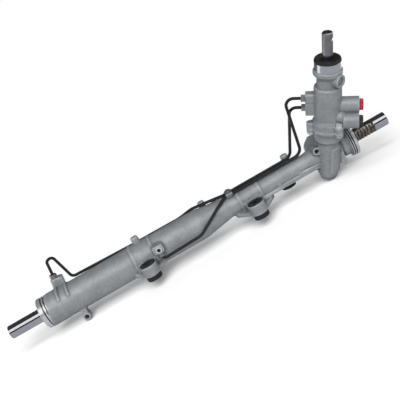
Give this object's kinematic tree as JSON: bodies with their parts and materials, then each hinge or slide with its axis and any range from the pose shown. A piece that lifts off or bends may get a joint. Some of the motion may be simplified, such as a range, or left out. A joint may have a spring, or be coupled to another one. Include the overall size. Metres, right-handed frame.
{
  "type": "steering rack",
  "caption": "Hydraulic power steering rack: cast cylinder and pinion tower, sliding chromed rack bar, splined input shaft, rubber mounts and two black steel pipes.",
  "frame": {"origin": "on the rack bar's axis, at the middle of the left boot seat's plain land", "axes": "+X along the rack bar towards the pinion end, +Z along the mounting bushes and up, +Y towards the rear"},
  "size_m": [0.807, 0.1718, 0.2624],
  "materials": {
    "cast_alloy": "as-cast aluminium, grit blasted, mid grey",
    "machined_alloy": "turned bright",
    "chromed_bar": "ground and hard chromed, teeth oily brown-grey",
    "bright_steel": "ground steel",
    "plated_steel": "zinc plated",
    "spring_steel": "dark spring steel",
    "black_pipe": "black coated steel tube",
    "black_rubber": "moulded black rubber",
    "low_friction": "filled low-friction plastic",
    "red_cap": "red transport plug",
    "black_cap": "black transport plug"
  },
  "bodies": {
    "housing": {"rack_housing": "cast_alloy", "left_end_cap": "machined_alloy", "end_cap_wire": "spring_steel", "end_cap_o_ring": "black_rubber", "left_rack_seal": "black_rubber", "inner_rack_seal": "black_rubber", "seal_spacer": "machined_alloy", "rack_bush": "low_friction", "bush_retainer": "machined_alloy", "valve_housing": "cast_alloy", "flange_bolts": "plated_steel", "seal_retainer": "machined_alloy", "input_seal": "black_rubber", "snap_ring": "spring_steel", "dust_cap": "black_rubber", "input_bearing": "bright_steel", "supply_plug": "red_cap", "return_plug": "black_cap", "bearing_outer_race": "bright_steel", "bottom_cap": "plated_steel", "upper_bush": "low_friction", "yoke": "machined_alloy", "yoke_liner": "low_friction", "yoke_spring": "spring_steel", "yoke_plug": "machined_alloy", "yoke_locknut": "plated_steel", "upper_tube_nut": "plated_steel", "lower_tube_nut": "plated_steel", "left_tube_nut": "plated_steel", "middle_tube_nut": "plated_steel", "front_pipe": "black_pipe", "rear_pipe": "black_pipe", "pipe_clamp": "plated_steel", "clamp_screw": "plated_steel", "left_mount_rubber": "black_rubber", "middle_mount_rubber": "black_rubber", "rear_mount_rubber": "black_rubber", "left_mount_sleeve": "bright_steel", "middle_mount_sleeve": "bright_steel", "rear_mount_sleeve": "bright_steel"},
    "rack": {"rack_bar": "chromed_bar", "piston": "machined_alloy", "piston_ring": "low_friction", "piston_circlips": "spring_steel"},
    "pinion": {"pinion_shaft": "bright_steel", "torsion_bar": "bright_steel", "valve_sleeve": "bright_steel", "valve_rings": "low_friction", "pinion_nut": "plated_steel", "bearing_inner_race": "bright_steel", "bearing_balls": "bright_steel"},
    "input": {"input_shaft": "bright_steel"}
  },
  "joints": [
    {"name": "rack_slide", "type": "slide", "parent": "housing", "child": "rack", "axis": [1, 0, 0], "range_m": [-0.065, 0.065]},
    {"name": "pinion_spin", "type": "hinge", "parent": "housing", "child": "pinion", "pos_m": [0.598, -0.01533, -0.00685], "axis": [0.3007, -0.3894, 0.8706], "range_deg": [-466, 466]},
    {"name": "input_twist", "type": "hinge", "parent": "pinion", "child": "input", "pos_m": [0.598, -0.01533, -0.00685], "axis": [0.3007, -0.3894, 0.8706], "range_deg": [-4.5, 4.5], "stiffness_Nm_per_rad": 100}
  ],
  "couplings": [
    {"joint": "pinion_spin", "follows": "rack_slide", "rad_per_m": -125}
  ]
}
